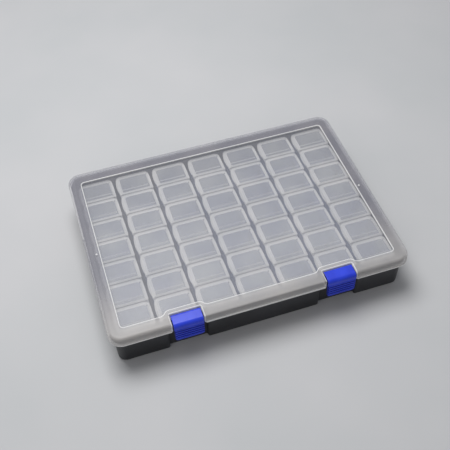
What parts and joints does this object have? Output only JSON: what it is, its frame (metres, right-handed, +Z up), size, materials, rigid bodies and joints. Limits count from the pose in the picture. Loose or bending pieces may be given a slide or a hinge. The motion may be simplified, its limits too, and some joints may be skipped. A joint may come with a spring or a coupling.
{
  "type": "parts box",
  "caption": "Shallow rectangular box with a hinged translucent lid, two front snap latches and rows of small lidded cells in lift-out strips.",
  "frame": {"origin": "middle of the flat underside, which stands on the table", "axes": "+X along the long front with the latches, from left to right; +Y from the latches to the hinge side; +Z up"},
  "size_m": [0.2504, 0.1858, 0.0384],
  "materials": {
    "base_black": "satin black polypropylene",
    "lid_frosted": "milky translucent polypropylene",
    "strip_clear": "milky translucent polypropylene",
    "cell_lid_clear": "milky translucent polypropylene",
    "latch_blue": "glossy blue polypropylene"
  },
  "bodies": {
    "case_base": {"case_base": "base_black"},
    "case_lid": {"case_lid": "lid_frosted"},
    "latch_left": {"latch_left": "latch_blue"},
    "latch_right": {"latch_right": "latch_blue"},
    "strip_1": {"strip_1": "strip_clear"},
    "cell_lid_1_1": {"cell_lid_1_1": "cell_lid_clear"},
    "cell_lid_1_2": {"cell_lid_1_2": "cell_lid_clear"},
    "cell_lid_1_3": {"cell_lid_1_3": "cell_lid_clear"},
    "cell_lid_1_4": {"cell_lid_1_4": "cell_lid_clear"},
    "cell_lid_1_5": {"cell_lid_1_5": "cell_lid_clear"},
    "cell_lid_1_6": {"cell_lid_1_6": "cell_lid_clear"},
    "cell_lid_1_7": {"cell_lid_1_7": "cell_lid_clear"},
    "strip_2": {"strip_2": "strip_clear"},
    "cell_lid_2_1": {"cell_lid_2_1": "cell_lid_clear"},
    "cell_lid_2_2": {"cell_lid_2_2": "cell_lid_clear"},
    "cell_lid_2_3": {"cell_lid_2_3": "cell_lid_clear"},
    "cell_lid_2_4": {"cell_lid_2_4": "cell_lid_clear"},
    "cell_lid_2_5": {"cell_lid_2_5": "cell_lid_clear"},
    "cell_lid_2_6": {"cell_lid_2_6": "cell_lid_clear"},
    "cell_lid_2_7": {"cell_lid_2_7": "cell_lid_clear"},
    "strip_3": {"strip_3": "strip_clear"},
    "cell_lid_3_1": {"cell_lid_3_1": "cell_lid_clear"},
    "cell_lid_3_2": {"cell_lid_3_2": "cell_lid_clear"},
    "cell_lid_3_3": {"cell_lid_3_3": "cell_lid_clear"},
    "cell_lid_3_4": {"cell_lid_3_4": "cell_lid_clear"},
    "cell_lid_3_5": {"cell_lid_3_5": "cell_lid_clear"},
    "cell_lid_3_6": {"cell_lid_3_6": "cell_lid_clear"},
    "cell_lid_3_7": {"cell_lid_3_7": "cell_lid_clear"},
    "strip_4": {"strip_4": "strip_clear"},
    "cell_lid_4_1": {"cell_lid_4_1": "cell_lid_clear"},
    "cell_lid_4_2": {"cell_lid_4_2": "cell_lid_clear"},
    "cell_lid_4_3": {"cell_lid_4_3": "cell_lid_clear"},
    "cell_lid_4_4": {"cell_lid_4_4": "cell_lid_clear"},
    "cell_lid_4_5": {"cell_lid_4_5": "cell_lid_clear"},
    "cell_lid_4_6": {"cell_lid_4_6": "cell_lid_clear"},
    "cell_lid_4_7": {"cell_lid_4_7": "cell_lid_clear"},
    "strip_5": {"strip_5": "strip_clear"},
    "cell_lid_5_1": {"cell_lid_5_1": "cell_lid_clear"},
    "cell_lid_5_2": {"cell_lid_5_2": "cell_lid_clear"},
    "cell_lid_5_3": {"cell_lid_5_3": "cell_lid_clear"},
    "cell_lid_5_4": {"cell_lid_5_4": "cell_lid_clear"},
    "cell_lid_5_5": {"cell_lid_5_5": "cell_lid_clear"},
    "cell_lid_5_6": {"cell_lid_5_6": "cell_lid_clear"},
    "cell_lid_5_7": {"cell_lid_5_7": "cell_lid_clear"},
    "strip_6": {"strip_6": "strip_clear"},
    "cell_lid_6_1": {"cell_lid_6_1": "cell_lid_clear"},
    "cell_lid_6_2": {"cell_lid_6_2": "cell_lid_clear"},
    "cell_lid_6_3": {"cell_lid_6_3": "cell_lid_clear"},
    "cell_lid_6_4": {"cell_lid_6_4": "cell_lid_clear"},
    "cell_lid_6_5": {"cell_lid_6_5": "cell_lid_clear"},
    "cell_lid_6_6": {"cell_lid_6_6": "cell_lid_clear"},
    "cell_lid_6_7": {"cell_lid_6_7": "cell_lid_clear"},
    "strip_7": {"strip_7": "strip_clear"},
    "cell_lid_7_1": {"cell_lid_7_1": "cell_lid_clear"},
    "cell_lid_7_2": {"cell_lid_7_2": "cell_lid_clear"},
    "cell_lid_7_3": {"cell_lid_7_3": "cell_lid_clear"},
    "cell_lid_7_4": {"cell_lid_7_4": "cell_lid_clear"},
    "cell_lid_7_5": {"cell_lid_7_5": "cell_lid_clear"},
    "cell_lid_7_6": {"cell_lid_7_6": "cell_lid_clear"},
    "cell_lid_7_7": {"cell_lid_7_7": "cell_lid_clear"}
  },
  "joints": [
    {"name": "case_lid_hinge", "type": "hinge", "parent": "case_base", "child": "case_lid", "pos_m": [0, 0.09035, 0.027], "axis": [-1, 0, 0], "range_deg": [0, 180]},
    {"name": "latch_left_hinge", "type": "hinge", "parent": "case_lid", "child": "latch_left", "pos_m": [-0.0635, -0.08305, 0.036], "axis": [-1, 0, 0], "range_deg": [0, 110]},
    {"name": "latch_right_hinge", "type": "hinge", "parent": "case_lid", "child": "latch_right", "pos_m": [0.0635, -0.08305, 0.036], "axis": [-1, 0, 0], "range_deg": [0, 110]},
    {"name": "strip_1_lift", "type": "slide", "parent": "case_base", "child": "strip_1", "axis": [0, 0, 1], "range_m": [0, 0.004]},
    {"name": "cell_lid_1_1_hinge", "type": "hinge", "parent": "strip_1", "child": "cell_lid_1_1", "pos_m": [-0.0878, -0.0703, 0.03155], "axis": [0, 1, 0], "range_deg": [0, 90]},
    {"name": "cell_lid_1_2_hinge", "type": "hinge", "parent": "strip_1", "child": "cell_lid_1_2", "pos_m": [-0.0878, -0.0472, 0.03155], "axis": [0, 1, 0], "range_deg": [0, 90]},
    {"name": "cell_lid_1_3_hinge", "type": "hinge", "parent": "strip_1", "child": "cell_lid_1_3", "pos_m": [-0.0878, -0.0241, 0.03155], "axis": [0, 1, 0], "range_deg": [0, 90]},
    {"name": "cell_lid_1_4_hinge", "type": "hinge", "parent": "strip_1", "child": "cell_lid_1_4", "pos_m": [-0.0878, -0.001, 0.03155], "axis": [0, 1, 0], "range_deg": [0, 90]},
    {"name": "cell_lid_1_5_hinge", "type": "hinge", "parent": "strip_1", "child": "cell_lid_1_5", "pos_m": [-0.0878, 0.0221, 0.03155], "axis": [0, 1, 0], "range_deg": [0, 90]},
    {"name": "cell_lid_1_6_hinge", "type": "hinge", "parent": "strip_1", "child": "cell_lid_1_6", "pos_m": [-0.0878, 0.0452, 0.03155], "axis": [0, 1, 0], "range_deg": [0, 90]},
    {"name": "cell_lid_1_7_hinge", "type": "hinge", "parent": "strip_1", "child": "cell_lid_1_7", "pos_m": [-0.0878, 0.0683, 0.03155], "axis": [0, 1, 0], "range_deg": [0, 90]},
    {"name": "strip_2_lift", "type": "slide", "parent": "case_base", "child": "strip_2", "axis": [0, 0, 1], "range_m": [0, 0.004]},
    {"name": "cell_lid_2_1_hinge", "type": "hinge", "parent": "strip_2", "child": "cell_lid_2_1", "pos_m": [-0.054, -0.0703, 0.03155], "axis": [0, 1, 0], "range_deg": [0, 90]},
    {"name": "cell_lid_2_2_hinge", "type": "hinge", "parent": "strip_2", "child": "cell_lid_2_2", "pos_m": [-0.054, -0.0472, 0.03155], "axis": [0, 1, 0], "range_deg": [0, 90]},
    {"name": "cell_lid_2_3_hinge", "type": "hinge", "parent": "strip_2", "child": "cell_lid_2_3", "pos_m": [-0.054, -0.0241, 0.03155], "axis": [0, 1, 0], "range_deg": [0, 90]},
    {"name": "cell_lid_2_4_hinge", "type": "hinge", "parent": "strip_2", "child": "cell_lid_2_4", "pos_m": [-0.054, -0.001, 0.03155], "axis": [0, 1, 0], "range_deg": [0, 90]},
    {"name": "cell_lid_2_5_hinge", "type": "hinge", "parent": "strip_2", "child": "cell_lid_2_5", "pos_m": [-0.054, 0.0221, 0.03155], "axis": [0, 1, 0], "range_deg": [0, 90]},
    {"name": "cell_lid_2_6_hinge", "type": "hinge", "parent": "strip_2", "child": "cell_lid_2_6", "pos_m": [-0.054, 0.0452, 0.03155], "axis": [0, 1, 0], "range_deg": [0, 90]},
    {"name": "cell_lid_2_7_hinge", "type": "hinge", "parent": "strip_2", "child": "cell_lid_2_7", "pos_m": [-0.054, 0.0683, 0.03155], "axis": [0, 1, 0], "range_deg": [0, 90]},
    {"name": "strip_3_lift", "type": "slide", "parent": "case_base", "child": "strip_3", "axis": [0, 0, 1], "range_m": [0, 0.004]},
    {"name": "cell_lid_3_1_hinge", "type": "hinge", "parent": "strip_3", "child": "cell_lid_3_1", "pos_m": [-0.0202, -0.0703, 0.03155], "axis": [0, 1, 0], "range_deg": [0, 90]},
    {"name": "cell_lid_3_2_hinge", "type": "hinge", "parent": "strip_3", "child": "cell_lid_3_2", "pos_m": [-0.0202, -0.0472, 0.03155], "axis": [0, 1, 0], "range_deg": [0, 90]},
    {"name": "cell_lid_3_3_hinge", "type": "hinge", "parent": "strip_3", "child": "cell_lid_3_3", "pos_m": [-0.0202, -0.0241, 0.03155], "axis": [0, 1, 0], "range_deg": [0, 90]},
    {"name": "cell_lid_3_4_hinge", "type": "hinge", "parent": "strip_3", "child": "cell_lid_3_4", "pos_m": [-0.0202, -0.001, 0.03155], "axis": [0, 1, 0], "range_deg": [0, 90]},
    {"name": "cell_lid_3_5_hinge", "type": "hinge", "parent": "strip_3", "child": "cell_lid_3_5", "pos_m": [-0.0202, 0.0221, 0.03155], "axis": [0, 1, 0], "range_deg": [0, 90]},
    {"name": "cell_lid_3_6_hinge", "type": "hinge", "parent": "strip_3", "child": "cell_lid_3_6", "pos_m": [-0.0202, 0.0452, 0.03155], "axis": [0, 1, 0], "range_deg": [0, 90]},
    {"name": "cell_lid_3_7_hinge", "type": "hinge", "parent": "strip_3", "child": "cell_lid_3_7", "pos_m": [-0.0202, 0.0683, 0.03155], "axis": [0, 1, 0], "range_deg": [0, 90]},
    {"name": "strip_4_lift", "type": "slide", "parent": "case_base", "child": "strip_4", "axis": [0, 0, 1], "range_m": [0, 0.004]},
    {"name": "cell_lid_4_1_hinge", "type": "hinge", "parent": "strip_4", "child": "cell_lid_4_1", "pos_m": [0.0136, -0.0703, 0.03155], "axis": [0, 1, 0], "range_deg": [0, 90]},
    {"name": "cell_lid_4_2_hinge", "type": "hinge", "parent": "strip_4", "child": "cell_lid_4_2", "pos_m": [0.0136, -0.0472, 0.03155], "axis": [0, 1, 0], "range_deg": [0, 90]},
    {"name": "cell_lid_4_3_hinge", "type": "hinge", "parent": "strip_4", "child": "cell_lid_4_3", "pos_m": [0.0136, -0.0241, 0.03155], "axis": [0, 1, 0], "range_deg": [0, 90]},
    {"name": "cell_lid_4_4_hinge", "type": "hinge", "parent": "strip_4", "child": "cell_lid_4_4", "pos_m": [0.0136, -0.001, 0.03155], "axis": [0, 1, 0], "range_deg": [0, 90]},
    {"name": "cell_lid_4_5_hinge", "type": "hinge", "parent": "strip_4", "child": "cell_lid_4_5", "pos_m": [0.0136, 0.0221, 0.03155], "axis": [0, 1, 0], "range_deg": [0, 90]},
    {"name": "cell_lid_4_6_hinge", "type": "hinge", "parent": "strip_4", "child": "cell_lid_4_6", "pos_m": [0.0136, 0.0452, 0.03155], "axis": [0, 1, 0], "range_deg": [0, 90]},
    {"name": "cell_lid_4_7_hinge", "type": "hinge", "parent": "strip_4", "child": "cell_lid_4_7", "pos_m": [0.0136, 0.0683, 0.03155], "axis": [0, 1, 0], "range_deg": [0, 90]},
    {"name": "strip_5_lift", "type": "slide", "parent": "case_base", "child": "strip_5", "axis": [0, 0, 1], "range_m": [0, 0.004]},
    {"name": "cell_lid_5_1_hinge", "type": "hinge", "parent": "strip_5", "child": "cell_lid_5_1", "pos_m": [0.0474, -0.0703, 0.03155], "axis": [0, 1, 0], "range_deg": [0, 90]},
    {"name": "cell_lid_5_2_hinge", "type": "hinge", "parent": "strip_5", "child": "cell_lid_5_2", "pos_m": [0.0474, -0.0472, 0.03155], "axis": [0, 1, 0], "range_deg": [0, 90]},
    {"name": "cell_lid_5_3_hinge", "type": "hinge", "parent": "strip_5", "child": "cell_lid_5_3", "pos_m": [0.0474, -0.0241, 0.03155], "axis": [0, 1, 0], "range_deg": [0, 90]},
    {"name": "cell_lid_5_4_hinge", "type": "hinge", "parent": "strip_5", "child": "cell_lid_5_4", "pos_m": [0.0474, -0.001, 0.03155], "axis": [0, 1, 0], "range_deg": [0, 90]},
    {"name": "cell_lid_5_5_hinge", "type": "hinge", "parent": "strip_5", "child": "cell_lid_5_5", "pos_m": [0.0474, 0.0221, 0.03155], "axis": [0, 1, 0], "range_deg": [0, 90]},
    {"name": "cell_lid_5_6_hinge", "type": "hinge", "parent": "strip_5", "child": "cell_lid_5_6", "pos_m": [0.0474, 0.0452, 0.03155], "axis": [0, 1, 0], "range_deg": [0, 90]},
    {"name": "cell_lid_5_7_hinge", "type": "hinge", "parent": "strip_5", "child": "cell_lid_5_7", "pos_m": [0.0474, 0.0683, 0.03155], "axis": [0, 1, 0], "range_deg": [0, 90]},
    {"name": "strip_6_lift", "type": "slide", "parent": "case_base", "child": "strip_6", "axis": [0, 0, 1], "range_m": [0, 0.004]},
    {"name": "cell_lid_6_1_hinge", "type": "hinge", "parent": "strip_6", "child": "cell_lid_6_1", "pos_m": [0.0812, -0.0703, 0.03155], "axis": [0, 1, 0], "range_deg": [0, 90]},
    {"name": "cell_lid_6_2_hinge", "type": "hinge", "parent": "strip_6", "child": "cell_lid_6_2", "pos_m": [0.0812, -0.0472, 0.03155], "axis": [0, 1, 0], "range_deg": [0, 90]},
    {"name": "cell_lid_6_3_hinge", "type": "hinge", "parent": "strip_6", "child": "cell_lid_6_3", "pos_m": [0.0812, -0.0241, 0.03155], "axis": [0, 1, 0], "range_deg": [0, 90]},
    {"name": "cell_lid_6_4_hinge", "type": "hinge", "parent": "strip_6", "child": "cell_lid_6_4", "pos_m": [0.0812, -0.001, 0.03155], "axis": [0, 1, 0], "range_deg": [0, 90]},
    {"name": "cell_lid_6_5_hinge", "type": "hinge", "parent": "strip_6", "child": "cell_lid_6_5", "pos_m": [0.0812, 0.0221, 0.03155], "axis": [0, 1, 0], "range_deg": [0, 90]},
    {"name": "cell_lid_6_6_hinge", "type": "hinge", "parent": "strip_6", "child": "cell_lid_6_6", "pos_m": [0.0812, 0.0452, 0.03155], "axis": [0, 1, 0], "range_deg": [0, 90]},
    {"name": "cell_lid_6_7_hinge", "type": "hinge", "parent": "strip_6", "child": "cell_lid_6_7", "pos_m": [0.0812, 0.0683, 0.03155], "axis": [0, 1, 0], "range_deg": [0, 90]},
    {"name": "strip_7_lift", "type": "slide", "parent": "case_base", "child": "strip_7", "axis": [0, 0, 1], "range_m": [0, 0.004]},
    {"name": "cell_lid_7_1_hinge", "type": "hinge", "parent": "strip_7", "child": "cell_lid_7_1", "pos_m": [0.115, -0.0703, 0.03155], "axis": [0, 1, 0], "range_deg": [0, 90]},
    {"name": "cell_lid_7_2_hinge", "type": "hinge", "parent": "strip_7", "child": "cell_lid_7_2", "pos_m": [0.115, -0.0472, 0.03155], "axis": [0, 1, 0], "range_deg": [0, 90]},
    {"name": "cell_lid_7_3_hinge", "type": "hinge", "parent": "strip_7", "child": "cell_lid_7_3", "pos_m": [0.115, -0.0241, 0.03155], "axis": [0, 1, 0], "range_deg": [0, 90]},
    {"name": "cell_lid_7_4_hinge", "type": "hinge", "parent": "strip_7", "child": "cell_lid_7_4", "pos_m": [0.115, -0.001, 0.03155], "axis": [0, 1, 0], "range_deg": [0, 90]},
    {"name": "cell_lid_7_5_hinge", "type": "hinge", "parent": "strip_7", "child": "cell_lid_7_5", "pos_m": [0.115, 0.0221, 0.03155], "axis": [0, 1, 0], "range_deg": [0, 90]},
    {"name": "cell_lid_7_6_hinge", "type": "hinge", "parent": "strip_7", "child": "cell_lid_7_6", "pos_m": [0.115, 0.0452, 0.03155], "axis": [0, 1, 0], "range_deg": [0, 90]},
    {"name": "cell_lid_7_7_hinge", "type": "hinge", "parent": "strip_7", "child": "cell_lid_7_7", "pos_m": [0.115, 0.0683, 0.03155], "axis": [0, 1, 0], "range_deg": [0, 90]}
  ],
  "couplings": [
    {"joint": "strip_1_lift", "follows": "case_lid_hinge", "m_per_rad": 0.00127},
    {"joint": "cell_lid_1_1_hinge", "follows": "case_lid_hinge", "ratio": 0.5},
    {"joint": "cell_lid_1_2_hinge", "follows": "case_lid_hinge", "ratio": 0.5},
    {"joint": "cell_lid_1_3_hinge", "follows": "case_lid_hinge", "ratio": 0.5},
    {"joint": "cell_lid_1_4_hinge", "follows": "case_lid_hinge", "ratio": 0.5},
    {"joint": "cell_lid_1_5_hinge", "follows": "case_lid_hinge", "ratio": 0.5},
    {"joint": "cell_lid_1_6_hinge", "follows": "case_lid_hinge", "ratio": 0.5},
    {"joint": "cell_lid_1_7_hinge", "follows": "case_lid_hinge", "ratio": 0.5},
    {"joint": "strip_2_lift", "follows": "case_lid_hinge", "m_per_rad": 0.00127},
    {"joint": "cell_lid_2_1_hinge", "follows": "case_lid_hinge", "ratio": 0.5},
    {"joint": "cell_lid_2_2_hinge", "follows": "case_lid_hinge", "ratio": 0.5},
    {"joint": "cell_lid_2_3_hinge", "follows": "case_lid_hinge", "ratio": 0.5},
    {"joint": "cell_lid_2_4_hinge", "follows": "case_lid_hinge", "ratio": 0.5},
    {"joint": "cell_lid_2_5_hinge", "follows": "case_lid_hinge", "ratio": 0.5},
    {"joint": "cell_lid_2_6_hinge", "follows": "case_lid_hinge", "ratio": 0.5},
    {"joint": "cell_lid_2_7_hinge", "follows": "case_lid_hinge", "ratio": 0.5},
    {"joint": "strip_3_lift", "follows": "case_lid_hinge", "m_per_rad": 0.00127},
    {"joint": "cell_lid_3_1_hinge", "follows": "case_lid_hinge", "ratio": 0.5},
    {"joint": "cell_lid_3_2_hinge", "follows": "case_lid_hinge", "ratio": 0.5},
    {"joint": "cell_lid_3_3_hinge", "follows": "case_lid_hinge", "ratio": 0.5},
    {"joint": "cell_lid_3_4_hinge", "follows": "case_lid_hinge", "ratio": 0.5},
    {"joint": "cell_lid_3_5_hinge", "follows": "case_lid_hinge", "ratio": 0.5},
    {"joint": "cell_lid_3_6_hinge", "follows": "case_lid_hinge", "ratio": 0.5},
    {"joint": "cell_lid_3_7_hinge", "follows": "case_lid_hinge", "ratio": 0.5},
    {"joint": "strip_4_lift", "follows": "case_lid_hinge", "m_per_rad": 0.00127},
    {"joint": "cell_lid_4_1_hinge", "follows": "case_lid_hinge", "ratio": 0.5},
    {"joint": "cell_lid_4_2_hinge", "follows": "case_lid_hinge", "ratio": 0.5},
    {"joint": "cell_lid_4_3_hinge", "follows": "case_lid_hinge", "ratio": 0.5},
    {"joint": "cell_lid_4_4_hinge", "follows": "case_lid_hinge", "ratio": 0.5},
    {"joint": "cell_lid_4_5_hinge", "follows": "case_lid_hinge", "ratio": 0.5},
    {"joint": "cell_lid_4_6_hinge", "follows": "case_lid_hinge", "ratio": 0.5},
    {"joint": "cell_lid_4_7_hinge", "follows": "case_lid_hinge", "ratio": 0.5},
    {"joint": "strip_5_lift", "follows": "case_lid_hinge", "m_per_rad": 0.00127},
    {"joint": "cell_lid_5_1_hinge", "follows": "case_lid_hinge", "ratio": 0.5},
    {"joint": "cell_lid_5_2_hinge", "follows": "case_lid_hinge", "ratio": 0.5},
    {"joint": "cell_lid_5_3_hinge", "follows": "case_lid_hinge", "ratio": 0.5},
    {"joint": "cell_lid_5_4_hinge", "follows": "case_lid_hinge", "ratio": 0.5},
    {"joint": "cell_lid_5_5_hinge", "follows": "case_lid_hinge", "ratio": 0.5},
    {"joint": "cell_lid_5_6_hinge", "follows": "case_lid_hinge", "ratio": 0.5},
    {"joint": "cell_lid_5_7_hinge", "follows": "case_lid_hinge", "ratio": 0.5},
    {"joint": "strip_6_lift", "follows": "case_lid_hinge", "m_per_rad": 0.00127},
    {"joint": "cell_lid_6_1_hinge", "follows": "case_lid_hinge", "ratio": 0.5},
    {"joint": "cell_lid_6_2_hinge", "follows": "case_lid_hinge", "ratio": 0.5},
    {"joint": "cell_lid_6_3_hinge", "follows": "case_lid_hinge", "ratio": 0.5},
    {"joint": "cell_lid_6_4_hinge", "follows": "case_lid_hinge", "ratio": 0.5},
    {"joint": "cell_lid_6_5_hinge", "follows": "case_lid_hinge", "ratio": 0.5},
    {"joint": "cell_lid_6_6_hinge", "follows": "case_lid_hinge", "ratio": 0.5},
    {"joint": "cell_lid_6_7_hinge", "follows": "case_lid_hinge", "ratio": 0.5},
    {"joint": "strip_7_lift", "follows": "case_lid_hinge", "m_per_rad": 0.00127},
    {"joint": "cell_lid_7_1_hinge", "follows": "case_lid_hinge", "ratio": 0.5},
    {"joint": "cell_lid_7_2_hinge", "follows": "case_lid_hinge", "ratio": 0.5},
    {"joint": "cell_lid_7_3_hinge", "follows": "case_lid_hinge", "ratio": 0.5},
    {"joint": "cell_lid_7_4_hinge", "follows": "case_lid_hinge", "ratio": 0.5},
    {"joint": "cell_lid_7_5_hinge", "follows": "case_lid_hinge", "ratio": 0.5},
    {"joint": "cell_lid_7_6_hinge", "follows": "case_lid_hinge", "ratio": 0.5},
    {"joint": "cell_lid_7_7_hinge", "follows": "case_lid_hinge", "ratio": 0.5}
  ]
}
